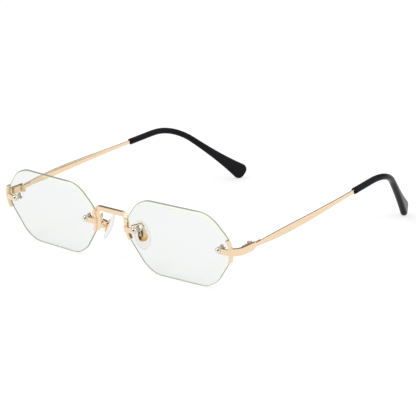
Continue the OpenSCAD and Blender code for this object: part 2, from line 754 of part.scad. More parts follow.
module hinge_tongue(side) {
    x1 = pivot_in - bar_t / 2 - seat_gap / 2;
    z0 = side_gap / 2 - third / 2;
    thick = third - side_gap;
    plate_h = bar_front_h * 1.2;
    back = hinge_set + side_gap;
    color(gold) hinge_place(side) difference() {
        union() {
            translate([0, 0, z0]) cylinder(r = knuckle_r, h = thick);
            translate([-0.1, 0, z0]) cube([knuckle_r + 0.1, back, thick]);
            translate([-0.1, back - 0.2, z0]) cube([x1 + 0.1, 1, thick]);
            translate([x1 - tongue_plate_t, back + 0.4, -plate_h / 2])
                cube([tongue_plate_t, tongue_plate_l, plate_h]);
        }
        translate([0, 0, -knuckle_h]) cylinder(r = hinge_screw_r + running_gap, h = 2 * knuckle_h);
        // The tongue steps round the end of the arm
        translate([knuckle_r, 0, -third]) cube([arm_t, back - side_gap / 2, 2 * third]);
    }
}

// Temple bar with the wire that runs on inside the tip, grown by a gap on every side
module temple_core(from, to, grow) {
    path = side_path(from, to, ceil((to - from) / 3));
    heights = [for (p = path) (p[3] <= tip_start ? bar_height(p[3]) : bar_rear_h) / 2 + grow];
    intersection() {
        translate([0, 0, -far]) linear_extrude(2 * far) mirror([1, -1])
            polygon(ribbon(plan_path, [for (p = plan_path) bar_t / 2 + grow]));
        rotate([90, 0, 90]) translate([0, 0, -far]) linear_extrude(2 * far) polygon(ribbon(path, heights));
    }
}

module temple_bar(side) {
    color(gold) temple_place(side) translate([0, side_gap / 2, 0]) temple_core(0, core_end, 0);
}

module temple_tip(side) {
    path = concat(side_path(tip_start, tip_end - 1, 24),
        [for (t = [0, 0.25, 0.45, 0.6, 0.72, 0.82, 0.9, 0.96, 1]) side_point(tip_end + end_round * t)]);
    color(black) temple_place(side) translate([0, side_gap / 2, 0]) difference() {
        intersection() {
            translate([0, 0, -far]) linear_extrude(2 * far) mirror([1, -1])
                polygon(ribbon(plan_path, [for (p = plan_path) tip_t / 2]));
            rotate([90, 0, 90]) translate([0, 0, -far]) linear_extrude(2 * far)
                polygon(ribbon(path, [for (p = path) tip_height(p[3]) / 2]));
        }
        temple_core(tip_start - 2, core_end + 1, seat_gap);
    }
}

lens(-1);  // lens_right
lens(1);  // lens_left
bridge_bar();
nose_bracket(-1);  // nose_bracket_right
nose_bracket(1);  // nose_bracket_left
end_piece(-1);  // end_piece_right
end_piece(1);  // end_piece_left
lens_screws();
lens_bushes();
front_washers();
rear_washers();
cap_nuts();
pad_arm(-1);  // pad_arm_right
pad_arm(1);  // pad_arm_left
pad_box(-1);  // pad_box_right
pad_box(1);  // pad_box_left
pad_screws();
pad_plate(-1);  // pad_plate_right
pad_plate(1);  // pad_plate_left
nose_pad(-1);  // nose_pad_right
nose_pad(1);  // nose_pad_left
hinge_leaf(-1);  // hinge_leaf_right
hinge_leaf(1);  // hinge_leaf_left
leaf_rivets();
hinge_screw(-1);  // hinge_screw_right
hinge_screw(1);  // hinge_screw_left
hinge_tongue(-1);  // hinge_tongue_right
hinge_tongue(1);  // hinge_tongue_left
temple_bar(-1);  // temple_bar_right
temple_bar(1);  // temple_bar_left
temple_tip(-1);  // temple_tip_right
temple_tip(1);  // temple_tip_left
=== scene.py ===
# %% [markdown]
# Rimless spectacles, dressed.
#
# The construction model says where every piece is and how it moves. This script gives the pieces
# their looks: polished lens edges, soft pads, rounded metal, black tips and a photograph's light.
# Every cell makes one thing. Run them in order, from the top.

# %% Load the construction model
import json
import math

import bmesh
import bpy
from mathutils import Matrix, Vector


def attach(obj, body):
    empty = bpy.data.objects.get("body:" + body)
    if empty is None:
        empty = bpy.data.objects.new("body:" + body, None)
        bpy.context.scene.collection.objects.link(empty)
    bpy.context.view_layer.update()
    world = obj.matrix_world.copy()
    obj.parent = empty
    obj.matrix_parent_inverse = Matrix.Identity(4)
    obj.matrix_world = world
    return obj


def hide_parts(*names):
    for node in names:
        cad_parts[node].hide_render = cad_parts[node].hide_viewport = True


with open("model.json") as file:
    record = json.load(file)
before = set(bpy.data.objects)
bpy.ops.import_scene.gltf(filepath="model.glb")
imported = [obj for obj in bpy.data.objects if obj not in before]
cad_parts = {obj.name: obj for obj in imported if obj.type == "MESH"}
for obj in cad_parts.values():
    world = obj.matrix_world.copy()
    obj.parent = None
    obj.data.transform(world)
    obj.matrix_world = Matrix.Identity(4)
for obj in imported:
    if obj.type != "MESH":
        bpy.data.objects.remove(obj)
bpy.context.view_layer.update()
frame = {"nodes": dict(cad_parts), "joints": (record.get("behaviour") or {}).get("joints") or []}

MM = 0.001

# %% [markdown]
# The glasses stand open on a table, so their front leans forward. Pieces are easier to model
# upright, in the frame of the part that carries them, and are then put in place by one matrix.
# The left fold joint gives the place and the lean of the front, so nothing is fitted by eye.
# Lengths are in millimetres and angles in degrees.

# %% Frames of the front, the lenses, the temples and the pads
PANTO = 2.6  # angle between a temple and the line square to the front
LENS_AT = (36.85, 0, 0)
WRAP = 2.2  # turn of each lens towards its temple
TEMPLE_AT = (68.15, 13.8, 0.9)
HINGE_IN_TEMPLE = (-1.78, -1.2, 0)
PAD_AT = (10.3, 7.9, -4)
PAD_TILT = 1  # turn that brings the lower ends of the pads forward
PAD_SPLAY = 30  # turn that spreads the rear edges of the pads
PAD_FRONTAL = 26  # turn that spreads the lower ends of the pads


def shift(place):
    """Moves by a place in millimetres."""
    return Matrix.Translation(Vector(place) * MM)


def turn(axis, degrees):
    """Turns about an axis."""
    return Matrix.Rotation(math.radians(degrees), 4, axis)


fold = next(joint for joint in frame["joints"] if joint["name"] == "left_temple_fold")
lean = PANTO + math.degrees(math.atan2(-fold["axis"][1], fold["axis"][2]))
hinge_in_front = shift(TEMPLE_AT) @ turn("X", -PANTO) @ shift(HINGE_IN_TEMPLE)
front_origin = Vector(fold["pos_m"]) - (turn("X", lean) @ hinge_in_front).to_translation()
FRONT = Matrix.Translation(front_origin) @ turn("X", lean)
LENS = shift(LENS_AT) @ turn("Z", WRAP)
TEMPLE = shift(TEMPLE_AT) @ turn("X", -PANTO)
PAD = shift(PAD_AT) @ turn("X", -PAD_TILT) @ turn("Z", -PAD_SPLAY) @ turn("Y", -PAD_FRONTAL)
MIRROR = Matrix.Diagonal((-1, 1, 1, 1))
SIDES = {"left": Matrix.Identity(4), "right": MIRROR}
print("front stands at", [round(c / MM, 2) for c in front_origin], "and leans", round(lean, 2))

# %% [markdown]
# The photograph was taken with a long lens from the front, above and to one side. The camera's
# place and turn were found by laying the model over the picture until the outlines met.

# %% Camera
CAMERA_AT = (562.75, -646.78, 258.82)
CAMERA_AZIMUTH = 41.446
CAMERA_ELEVATION = 16.213
CAMERA_ROLL = -0.282
FOCAL = 171.88
NEAREST = 0.05  # metres from the camera at which the picture starts

camera_data = bpy.data.cameras.new("Camera")
camera_data.lens = FOCAL
camera_data.clip_start = NEAREST
camera = bpy.data.objects.new("Camera", camera_data)
bpy.context.scene.collection.objects.link(camera)
camera.matrix_world = (shift(CAMERA_AT) @ turn("Z", CAMERA_AZIMUTH)
                       @ turn("X", 90 - CAMERA_ELEVATION) @ turn("Z", CAMERA_ROLL))
bpy.context.scene.camera = camera
bpy.context.scene.view_settings.view_transform = "Standard"
print("camera", [round(c, 3) for c in camera.location])

# %% [markdown]
# A finish is a small network of nodes. Written as arithmetic it stays readable: a Wire is an
# output socket, and adding, subtracting or multiplying wires adds the Math nodes that do it.

# %% Wires
class Wire:
    """An output socket that takes part in sums and products."""

    def __init__(self, recipe, socket):
        self.recipe = recipe
        self.socket = socket

    def math(self, operation, first, second):
        return self.recipe.add("ShaderNodeMath", {"operation": operation}, {0: first, 1: second})

    def __add__(self, other):
        return self.math("ADD", self, other)

    def __sub__(self, other):
        return self.math("SUBTRACT", self, other)

    def __rsub__(self, other):
        return self.math("SUBTRACT", other, self)

    def __mul__(self, other):
        return self.math("MULTIPLY", self, other)

    __radd__ = __add__
    __rmul__ = __mul__


print("wires ready")

# %% [markdown]
# Every other node comes from one method, which takes the kind of node, its settings and the
# values or wires of its sockets. The methods below it are the few nodes that most finishes use.

# %% Recipes
class Recipe:
    """The nodes of one finish, or of the world."""

    def __init__(self, owner):
        owner.use_nodes = True
        self.owner = owner
        self.tree = owner.node_tree
        self.tree.nodes.clear()

    def add(self, kind, settings=None, inputs=None, output=0):
        """Adds a node, sets it, then feeds its sockets, and hands back the wire of one output."""
        node = self.tree.nodes.new(kind)
        for name, value in (settings or {}).items():
            if name == "stops":
                self.set_stops(node.color_ramp, value)
            else:
                setattr(node, name, value)
        for name, value in (inputs or {}).items():
            if isinstance(value, Wire):
                self.tree.links.new(value.socket, node.inputs[name])
            else:
                node.inputs[name].default_value = value
        return Wire(self, node.outputs[output]) if len(node.outputs) else None

    def set_stops(self, ramp, stops):
        """Sets the places and the grey levels of a colour ramp."""
        while len(ramp.elements) < len(stops):
            ramp.elements.new(1)
        for element, (place, grey) in zip(ramp.elements, stops):
            element.position = place
            element.color = (grey, grey, grey, 1)

    def ramp(self, factor, stops):
        """Between 0 and 1, by stops along the value of a wire."""
        return self.add("ShaderNodeValToRGB", {"stops": stops}, {"Fac": factor})

    def place(self, stretch):
        """Place on the piece, in metres, with each axis multiplied by its stretch."""
        at = self.add("ShaderNodeTexCoord", output="Object")
        return self.add("ShaderNodeMapping", {}, {"Vector": at, "Scale": stretch})

    def noise(self, scale, detail=2, stretch=(1, 1, 1)):
        """Cloudy noise, with about this many clouds in a metre."""
        return self.add("ShaderNodeTexNoise", {},
                        {"Vector": self.place(stretch), "Scale": scale, "Detail": detail})

    def blend(self, factor, first, second):
        """Goes from one colour to another. A colour is a wire or red, green, blue and 1."""
        return self.add("ShaderNodeMix", {"data_type": "RGBA"}, {0: factor, 6: first, 7: second},
                        output=2)

    def colours(self, factor, first, second):
        """Goes from one colour to another, both given as red, green and blue."""
        return self.blend(factor, (*first, 1), (*second, 1))

    def bump(self, height, strength, depth_mm):
        return self.add("ShaderNodeBump", {}, {
            "Height": height, "Strength": strength, "Distance": depth_mm * MM})

    def finish(self, shader):
        """Ends the network and hands back the material or world that it belongs to."""
        kind = "World" if isinstance(self.owner, bpy.types.World) else "Material"
        self.add("ShaderNodeOutput" + kind, {}, {"Surface": shader})
        return self.owner


def recipe(name):
    return Recipe(bpy.data.materials.new(name))


print("recipes ready")

# %% [markdown]
# Polished metal shows its surroundings, so the studio is part of the finish. Upright faces
# mirror the white table. Narrow faces that look up mirror a dark wall behind the glasses,
# which draws the thin brown lines along the bridge and the temples. The domes of the screws
# mirror a dark patch above the camera and show it as a small spot. Both are dark for mirrored
# rays alone, so the light and the white background stay as they are.

# %% Surroundings
WALL_AHEAD = [(0.2, 0), (0.4, 1)]  # stops along how much a ray runs away from the camera
WALL_HEIGHT = [(0.08, 0), (0.16, 1), (0.60, 1), (0.70, 0)]  # stops along how much it rises
WALL_DARKNESS = 0.8
PATCH_AT = (0.42, -0.76, 0.50)
PATCH_EDGE = [(0.82, 0), (0.84, 1)]  # stops along how near a ray is to the patch

world = bpy.data.worlds.new("Studio")
bpy.context.scene.world = world
studio = Recipe(world)
direction = studio.add("ShaderNodeTexCoord", output="Generated")
height = studio.add("ShaderNodeSeparateXYZ", {}, {"Vector": direction}, output="Z")


def nearness(aim):
    """Cosine of the angle between a ray and an aim of length 1: it is 1 where they agree."""
    return studio.add("ShaderNodeVectorMath", {"operation": "DOT_PRODUCT"},
                      {0: direction, 1: aim}, output="Value")


azimuth = math.radians(CAMERA_AZIMUTH)
ahead = nearness(Vector((-math.sin(azimuth), math.cos(azimuth), 0)))
wall = studio.ramp(ahead, WALL_AHEAD) * studio.ramp(height, WALL_HEIGHT)
patch = studio.ramp(nearness(Vector(PATCH_AT).normalized()), PATCH_EDGE)
is_mirrored = studio.add("ShaderNodeLightPath", output="Is Glossy Ray")
strength = 1 - (wall * WALL_DARKNESS + patch) * is_mirrored
studio.finish(studio.add("ShaderNodeBackground", {}, {"Color": (1, 1, 1, 1), "Strength": strength}))
print("surroundings", len(studio.tree.nodes), "nodes")

# %% [markdown]
# The photograph has a white background that runs on under the glasses. A table that is simply
# white would look grey next to it, so most of what the camera sees of it, and all that the metal
# mirrors, is its own light. The rest is a matt white, which still takes a breath of shadow.

# %% White table
TABLE_SIZE = 8  # metres
TABLE_WHITE = 0.95
TABLE_GLOW = 0.6  # share of its own light that the camera sees

table = recipe("white table")
lit = table.add("ShaderNodeBsdfDiffuse", {}, {"Color": (TABLE_WHITE, TABLE_WHITE, TABLE_WHITE, 1)})
white = table.add("ShaderNodeEmission", {}, {"Color": (1, 1, 1, 1), "Strength": 1.0})
is_seen = table.add("ShaderNodeLightPath", output="Is Camera Ray")
is_mirrored = table.add("ShaderNodeLightPath", output="Is Glossy Ray")
is_seen_through = table.add("ShaderNodeLightPath", output="Is Transmission Ray")
glow = is_seen * TABLE_GLOW + is_mirrored + is_seen_through
table_finish = table.finish(table.add("ShaderNodeMixShader", {}, {0: glow, 1: lit, 2: white}))

bpy.ops.mesh.primitive_plane_add(size=TABLE_SIZE)
floor = bpy.context.object
floor.name = "table_top"
floor.data.materials.append(table_finish)
print("table", round(floor.dimensions.x, 1), "m wide")

# %% [markdown]
# Three soft lamps hang round the glasses: one in front on the left, one on the right, and a
# small one behind, which touches the upper edges. They are weak, because the white surroundings
# already light the glasses from all sides.

# %% Lamps
LAMPS = {  # place in metres, width in metres and power in watts
    "key_lamp": ((-0.5, -0.5, 1.1), 0.6, 3.0),
    "fill_lamp": ((0.9, 0.4, 0.9), 0.6, 1.5),
    "rim_lamp": ((0.75, 1.1, 0.67), 0.3, 0.6)}

for name, (place, width, power) in LAMPS.items():
    lamp_data = bpy.data.lights.new(name, "AREA")
    lamp_data.size = width
    lamp_data.energy = power
    lamp = bpy.data.objects.new(name, lamp_data)
    lamp.location = place
    lamp.rotation_euler = (-Vector(place)).to_track_quat("-Z", "Y").to_euler()
    bpy.context.scene.collection.objects.link(lamp)
print("lamps", sorted(LAMPS))

# %% [markdown]
# The metal is a pale rose gold, polished and then plated. Real plating is never quite even. Its
# colour drifts over a few millimetres, its polish over about one, and polishing leaves fine
# hairlines that run from front to back. The pads are held by a warmer yellow gold, and the
# screws and nuts are plain steel.

# %% Metals
COLOUR_DRIFTS = 180  # in a metre, as the next two
POLISH_DRIFTS = 900
HAIRLINES = 2600
HAIRLINE_STRETCH = (1, 0.04, 1)
HAIRLINE_DEPTH = 0.004
UNEVEN_POLISH = 0.1


def metal(name, first, second, dull=0.12, hairline=0.15):
    """Plated metal: colour drift, uneven polish and fine hairlines."""
    plate = recipe(name)
    drift = plate.noise(COLOUR_DRIFTS, detail=3)
    polish = plate.noise(POLISH_DRIFTS, detail=4)
    lines = plate.noise(HAIRLINES, detail=2, stretch=HAIRLINE_STRETCH)
    shader = plate.add("ShaderNodeBsdfPrincipled", {}, {
        "Base Color": plate.colours(drift, first, second),
        "Metallic": 1.0,
        "Roughness": polish * UNEVEN_POLISH + (dull - UNEVEN_POLISH / 2),
        "Normal": plate.bump(lines, hairline, HAIRLINE_DEPTH)})
    return plate.finish(shader)


ROSE_GOLD = metal("rose gold", (0.92, 0.73, 0.515), (0.90, 0.685, 0.455))
YELLOW_GOLD = metal("yellow gold", (0.96, 0.50, 0.11), (0.92, 0.44, 0.08), dull=0.16)
SILVER = metal("steel", (0.82, 0.82, 0.80), (0.74, 0.74, 0.73), dull=0.08, hairline=0.05)
print("metals", [finish.name for finish in (ROSE_GOLD, YELLOW_GOLD, SILVER)])

# %% [markdown]
# The faces of a lens are nearly invisible, with a breath of mint from the coating. Clear
# material shows more where the eye meets it at a slant, so each clear finish has one alpha for
# faces seen straight on and one for slanting ones. The colour of the faces is dark, since a
# light one would turn the black tips grey where they are seen through a lens.

# %% Clear faces
CLEAR_INDEX = 1.5  # index of refraction of glass and clear plastic
SLANT_BLEND = 0.35  # how soon a face counts as slanting
UNEVEN_DULL = 0.04
CLEAR_BUMP_DEPTH = 0.01


def clear(name, first, second, alpha_face, alpha_slant, dull, bump=0.0, scale=300):
    """Clear material that thickens where it is seen at a slant."""
    glass = recipe(name)
    slant = glass.add("ShaderNodeLayerWeight", {}, {"Blend": SLANT_BLEND}, output="Facing")
    cloud = glass.noise(scale)
    shader = glass.add("ShaderNodeBsdfPrincipled", {}, {
        "Base Color": glass.colours(cloud, first, second),
        "Roughness": cloud * UNEVEN_DULL + dull,
        "IOR": CLEAR_INDEX,
        "Alpha": slant * (alpha_slant - alpha_face) + alpha_face,
        "Normal": glass.bump(cloud, bump, CLEAR_BUMP_DEPTH)})
    return glass.finish(shader)


LENS_FACE = clear("coated lens", (0.04, 0.14, 0.08), (0.06, 0.18, 0.11),
                  alpha_face=0.06, alpha_slant=0.13, dull=0.01, scale=60)
LENS_BAND = clear("lens seen to its edge", (0.66, 0.80, 0.28), (0.70, 0.84, 0.34),
                  alpha_face=0.22, alpha_slant=0.34, dull=0.03)
print("lens faces", LENS_FACE.name, "and", LENS_BAND.name)

# %% [markdown]
# A clear lens shows mostly by its edge. The front part of its polished wall is pale
# yellow-green. The two rims, where the wall turns into the faces, and the rear part of the wall
# carry a fine grey line all round the lens. It is painted shade, standing in for the dark
# refraction along the rims. One recipe makes the three finishes. It goes from pale to the painted
# grey as the surface turns away from the eye, paints the inside grey as well, and has its own
# alpha for the inside, which is what the eye meets through the lens.

# %% Edges of a lens
EDGE_PALE = ((0.70, 0.80, 0.44), (0.75, 0.85, 0.50))
# Painted grey shade for the rims and for the edge seen from inside, standing in for dark refraction.
PAINTED_EDGE_SHADE = (0.26, 0.26, 0.26, 1)
PAINTED_SHADE_ALPHA = 0.9
EDGE_BLEND = 0.5
EDGE_CLOUDS = 400
EDGE_DULL = 0.05
EDGE_UNEVEN = 0.1


def lens_edge(name, painted_shade_from, painted_shade_to, pale_alpha, inner_alpha):
    """Polished edge: pale, with painted grey shade where it turns away or is seen from inside."""
    glass = recipe(name)
    turned = glass.add("ShaderNodeLayerWeight", {}, {"Blend": EDGE_BLEND}, output="Facing")
    inside = glass.add("ShaderNodeNewGeometry", output="Backfacing")
    cloud = glass.noise(EDGE_CLOUDS, detail=3)
    # Where the painted grey shade lies, by how far the surface turns from the eye.
    grey = glass.ramp(turned, [(painted_shade_from, 0), (painted_shade_to, 1)])
    pale = glass.colours(cloud, *EDGE_PALE)
    painted_shade_or_inside = glass.add("ShaderNodeMath", {"operation": "MAXIMUM"}, {0: grey, 1: inside})
    outer_alpha = grey * (PAINTED_SHADE_ALPHA - pale_alpha) + pale_alpha
    shader = glass.add("ShaderNodeBsdfPrincipled", {}, {
        # The colour is pale, or the painted grey shade on the rims and on the inside.
        "Base Color": glass.blend(painted_shade_or_inside, pale, PAINTED_EDGE_SHADE),
        "Roughness": cloud * EDGE_UNEVEN + EDGE_DULL,
        "IOR": CLEAR_INDEX,
        "Alpha": outer_alpha * (1 - inside) + inside * inner_alpha})
    return glass.finish(shader)


# Each edge finish sets where its painted grey shade starts and where it is full.
LENS_WALL = lens_edge("polished lens edge", painted_shade_from=0.45, painted_shade_to=0.60,
                      pale_alpha=0.75, inner_alpha=0.95)
LENS_REAR_RIM = lens_edge("rear rim of the lens", painted_shade_from=0.10, painted_shade_to=0.20,
                          pale_alpha=0.6, inner_alpha=0.10)
LENS_FRONT_RIM = lens_edge("front rim of the lens", painted_shade_from=0.34, painted_shade_to=0.44,
                           pale_alpha=0.25, inner_alpha=0.95)
print("lens edges", [finish.name for finish in (LENS_WALL, LENS_REAR_RIM, LENS_FRONT_RIM)])

# %% [markdown]
# The nose pads are soft silicone, faintly warm and a little cloudy. The bushes and washers
# round the screws are nylon, which is harder and milkier.

# %% Silicone and nylon
SILICONE = clear("clear silicone", (0.62, 0.60, 0.56), (0.56, 0.55, 0.52),
                 alpha_face=0.06, alpha_slant=0.55, dull=0.12, bump=0.1, scale=700)
NYLON = clear("clear nylon", (0.80, 0.78, 0.70), (0.72, 0.70, 0.62),
              alpha_face=0.35, alpha_slant=0.8, dull=0.15, bump=0.1, scale=2000)
print("soft and clear", SILICONE.name, "and", NYLON.name)

# %% [markdown]
# The tips are black plastic with a soft gloss. Full gloss would mirror the white studio and
# look grey, so their index of refraction is low. Handling leaves fine wear along them.

# %% Black tips
TIP_INDEX = 1.13
TIP_SHADES = 90
TIP_WEAR = 1600
TIP_WEAR_STRETCH = (1, 0.3, 1)
TIP_DULL = 0.08
TIP_UNEVEN = 0.12

tip = recipe("black acetate")
tip_shade = tip.noise(TIP_SHADES, detail=3)
tip_wear = tip.noise(TIP_WEAR, detail=5, stretch=TIP_WEAR_STRETCH)
TIP_BLACK = tip.finish(tip.add("ShaderNodeBsdfPrincipled", {}, {
    "Base Color": tip.colours(tip_shade, (0.008, 0.008, 0.010), (0.012, 0.012, 0.014)),
    "Roughness": tip_wear * TIP_UNEVEN + TIP_DULL,
    "IOR": TIP_INDEX,
    "Normal": tip.bump(tip_wear, strength=0.08, depth_mm=0.01)}))
FINISH = {"rose_gold": ROSE_GOLD, "yellow_gold": YELLOW_GOLD, "silver": SILVER,
          "lens_clear": LENS_FACE, "bush_clear": NYLON, "pad_clear": SILICONE,
          "tip_black": TIP_BLACK}
print("finishes", sorted(FINISH))

# %% [markdown]
# The modelling helpers do what a hand does in Blender: open a mesh, pick some of it, act on it,
# and close it again. An operator acts on all that is selected, so each helper starts from
# nothing selected.

# %% Selecting and moving
TINY = 1e-6  # shorter than any length here, in metres as in millimetres


def alone(piece):
    """Selects one object and nothing else."""
    bpy.ops.object.select_all(action="DESELECT")
    piece.select_set(True)
    bpy.context.view_layer.objects.active = piece


def open_mesh(piece, kind="VERT"):
    """Opens a mesh with nothing selected in it."""
    alone(piece)
    bpy.ops.object.mode_set(mode="EDIT")
    bpy.ops.mesh.select_mode(type=kind)
    bpy.ops.mesh.select_all(action="DESELECT")


def close_mesh():
    bpy.ops.object.mode_set(mode="OBJECT")


def pick(test, kind="verts"):
    """Selects what passes a test in the open mesh, and nothing else."""
    data = bpy.context.edit_object.data
    mesh = bmesh.from_edit_mesh(data)
    mesh.normal_update()
    chosen = [item for item in getattr(mesh, kind) if test(item)]
    for item in mesh.verts[:] + mesh.edges[:] + mesh.faces[:]:
        item.select = False
    for item in chosen:
        item.select_set(True)
    mesh.select_flush_mode()
    bmesh.update_edit_mesh(data)


def move(x, y, z):
    """Moves what is selected, in millimetres."""
    bpy.ops.transform.translate(value=(x * MM, y * MM, z * MM))


def extrude(x, y, z):
    """Draws out the selected faces, in millimetres."""
    bpy.ops.mesh.extrude_region_move(TRANSFORM_OT_translate={"value": (x * MM, y * MM, z * MM)})


print("helpers for selecting and moving ready")

# %% [markdown]
# A finished piece gets its modifiers applied, its faces turned outwards and its place put into
# its mesh. Pieces come in mirrored pairs, so each is modelled once, on the wearer's left, and
# copied. Mirroring turns a piece inside out, which is why its faces are turned again.

# %% Finishing a piece
MERGE = 1e-7  # metres between points that count as one


def use(piece, kind, **settings):
    """Adds a modifier and applies it."""
    modifier = piece.modifiers.new(kind.title(), kind)
    for name, value in settings.items():
        setattr(modifier, name, value)
    alone(piece)
    bpy.ops.object.modifier_apply(modifier=modifier.name)


def outward(piece):
    """Turns all faces of a closed piece outwards."""
    open_mesh(piece, "FACE")
    bpy.ops.mesh.select_all(action="SELECT")
    bpy.ops.mesh.remove_doubles(threshold=MERGE)
    bpy.ops.mesh.normals_make_consistent(inside=False)
    close_mesh()


def smooth(piece, degrees=32):
    """Shades a piece smooth, but for edges sharper than an angle."""
    alone(piece)
    bpy.ops.object.shade_smooth_by_angle(angle=math.radians(degrees))


def settle(piece, matrix):
    """Puts a finished piece in its place, which goes into its mesh."""
    alone(piece)
    piece.matrix_world = matrix
    bpy.ops.object.transform_apply(location=True, rotation=True, scale=True)
    if matrix.determinant() < 0:
        outward(piece)
    return piece


def twin(piece, name):
    """A copy with its own mesh."""
    copy = piece.copy()
    copy.data = piece.data.copy()
    copy.name = name
    bpy.context.scene.collection.objects.link(copy)
    return copy


def wear(piece, *finishes):
    """Gives a piece its finishes, in the order of their slots."""
    piece.data.materials.clear()
    for finish in finishes:
        piece.data.materials.append(finish)


def belongs(piece, body, node):
    """Says which body a piece rides on, which node it stands for."""
    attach(piece, body)
    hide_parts(node)
    print(piece.name, "faces", len(piece.data.polygons), "replaces", node)


def make_pair(piece, name, place, body, node):
    """Puts a copy of a piece on each side. The names take the side in their braces."""
    for side, flip in SIDES.items():
        copy = settle(twin(piece, name.format(side)), FRONT @ flip @ place)
        belongs(copy, body.format(side), node.format(side))
    bpy.data.objects.remove(piece)


print("helpers for finishing ready")

# %% [markdown]
# A lens is one sheet of plastic, cut to six rounded sides. Its outline is what a string would
# take round six discs, so it is made just so: six discs, wrapped by their convex hull. Only the
# front face of the hull is kept.

# %% Outline of a lens
LENS_W = 55.7
LENS_H = 33.5
SIDE_R = 10.7
SIDE_Z = 1.7  # height of the two side discs above the middle
CORNER_R = 13.2
TOP_HALF = 12.2  # half the distance between the two top discs
BOTTOM_HALF = 10.3
DISC_T = 2
FLAT = 0.5  # degrees between faces that become one
FORWARD = -0.9  # a face whose normal has less than this along Y looks to the front


def lens_sheet():
    """One flat face with the outline of the lens."""
    side_out = LENS_W / 2 - SIDE_R
    corner_up = LENS_H / 2 - CORNER_R
    discs = [(x, SIDE_Z, SIDE_R) for x in (-side_out, side_out)]
    discs += [(x, corner_up, CORNER_R) for x in (-TOP_HALF, TOP_HALF)]
    discs += [(x, -corner_up, CORNER_R) for x in (-BOTTOM_HALF, BOTTOM_HALF)]
    bpy.ops.object.select_all(action="DESELECT")
    made = []
    for x, z, radius in discs:
        bpy.ops.mesh.primitive_cylinder_add(
            vertices=96, radius=radius * MM, depth=DISC_T * MM,
            location=(x * MM, DISC_T / 2 * MM, z * MM), rotation=(math.pi / 2, 0, 0))
        made.append(bpy.context.object)
    for disc in made:
        disc.select_set(True)
    bpy.ops.object.join()
    sheet = bpy.context.object
    alone(sheet)
    bpy.ops.object.transform_apply(location=True, rotation=True, scale=True)
    open_mesh(sheet, "FACE")
    bpy.ops.mesh.select_all(action="SELECT")
    bpy.ops.mesh.convex_hull()
    bpy.ops.mesh.select_all(action="SELECT")
    bpy.ops.mesh.dissolve_limited(angle_limit=math.radians(FLAT))
    pick(lambda face: face.normal.y > FORWARD, "faces")
    bpy.ops.mesh.delete(type="FACE")
    close_mesh()
    return sheet


lens = lens_sheet()
lens.name = "lens"
print("lens outline", len(lens.data.vertices), "points in", len(lens.data.polygons), "face")

# %% [markdown]
# A lens bows forward like a slice of a large ball. An inset keeps a strip along the edge, a grid
# is cut across the rest so that it can curve, and every point is pressed back to the ball. The
# strip gets a finish of its own, since the eye meets the pale edge through it. A cut leaves its
# own edges selected, so the faces are picked anew for each.

# %% Curve of a lens
CURVE_R = 286
BAND_W = 1.0
GRID = 2.0
LENS_FINISHES = (LENS_FACE, LENS_WALL, LENS_REAR_RIM, LENS_BAND, LENS_FRONT_RIM)
FACE_SLOT, WALL_SLOT, REAR_RIM_SLOT, BAND_SLOT, FRONT_RIM_SLOT = range(len(LENS_FINISHES))


def mark(slot):
    """Gives the selected faces a finish slot."""
    bpy.context.object.active_material_index = slot
    bpy.ops.object.material_slot_assign()


def bow(away):
    """How far the front of a lens lies back at a distance from its middle."""
    return CURVE_R - math.sqrt(CURVE_R ** 2 - away ** 2)


wear(lens, *LENS_FINISHES)
open_mesh(lens, "FACE")
bpy.ops.mesh.select_all(action="SELECT")
mark(BAND_SLOT)
bpy.ops.mesh.inset(thickness=BAND_W * MM)
mark(FACE_SLOT)
for across, half in (((1, 0, 0), LENS_W / 2), ((0, 0, 1), LENS_H / 2)):
    cuts = int(half // GRID)
    for number in range(-cuts, cuts + 1):
        pick(lambda face: face.material_index == FACE_SLOT, "faces")
        bpy.ops.mesh.bisect(plane_co=[c * number * GRID * MM for c in across], plane_no=across)
close_mesh()
for vertex in lens.data.vertices:
    vertex.co.y = bow(math.hypot(vertex.co.x, vertex.co.z) / MM) * MM
print("curved sheet", len(lens.data.polygons), "faces")

# %% [markdown]
# The sheet is extruded to its thickness in two steps, so that the wall has a front part and a
# rear part. Then both rims are rounded over with a bevel. A bevel gives all its faces one
# finish, so those of the front rim and the rear part of the wall are marked after it.

# %% Wall and rims of a lens
LENS_T = 1.8
WALL_FRONT = 0.85  # depth of the pale front part of the wall, with its rim
RIM_R = 0.45
SIDEWAYS = 0.3  # a face whose normal has less than this along Y belongs to the wall

open_mesh(lens, "FACE")
bpy.ops.mesh.select_all(action="SELECT")
extrude(0, WALL_FRONT, 0)
extrude(0, LENS_T - WALL_FRONT, 0)
mark(FACE_SLOT)
pick(lambda face: abs(face.normal.y) < SIDEWAYS, "faces")
mark(WALL_SLOT)
close_mesh()
outward(lens)


def depth_in_lens(face):
    """Distance of the middle of a face behind the front of the lens."""
    middle = face.calc_center_median() / MM
    return middle.y - bow(math.hypot(middle.x, middle.z))


def between_wall_and_face(edge):
    return len({face.material_index == WALL_SLOT for face in edge.link_faces}) == 2


open_mesh(lens, "EDGE")
pick(between_wall_and_face, "edges")
bpy.ops.mesh.bevel(offset=RIM_R * MM, segments=5, affect="EDGES", material=REAR_RIM_SLOT)
bpy.ops.mesh.select_mode(type="FACE")
pick(lambda face: face.material_index == REAR_RIM_SLOT and depth_in_lens(face) < LENS_T / 2, "faces")
mark(FRONT_RIM_SLOT)
pick(lambda face: face.material_index == WALL_SLOT and depth_in_lens(face) > WALL_FRONT, "faces")
mark(REAR_RIM_SLOT)
close_mesh()
print("lens with rims", len(lens.data.polygons), "faces")

# %% [markdown]
# Two bores take the screws. A bore stands square on the curved lens, so its frame swings out
# round the middle of the ball. A drill is set in that frame and cut away.

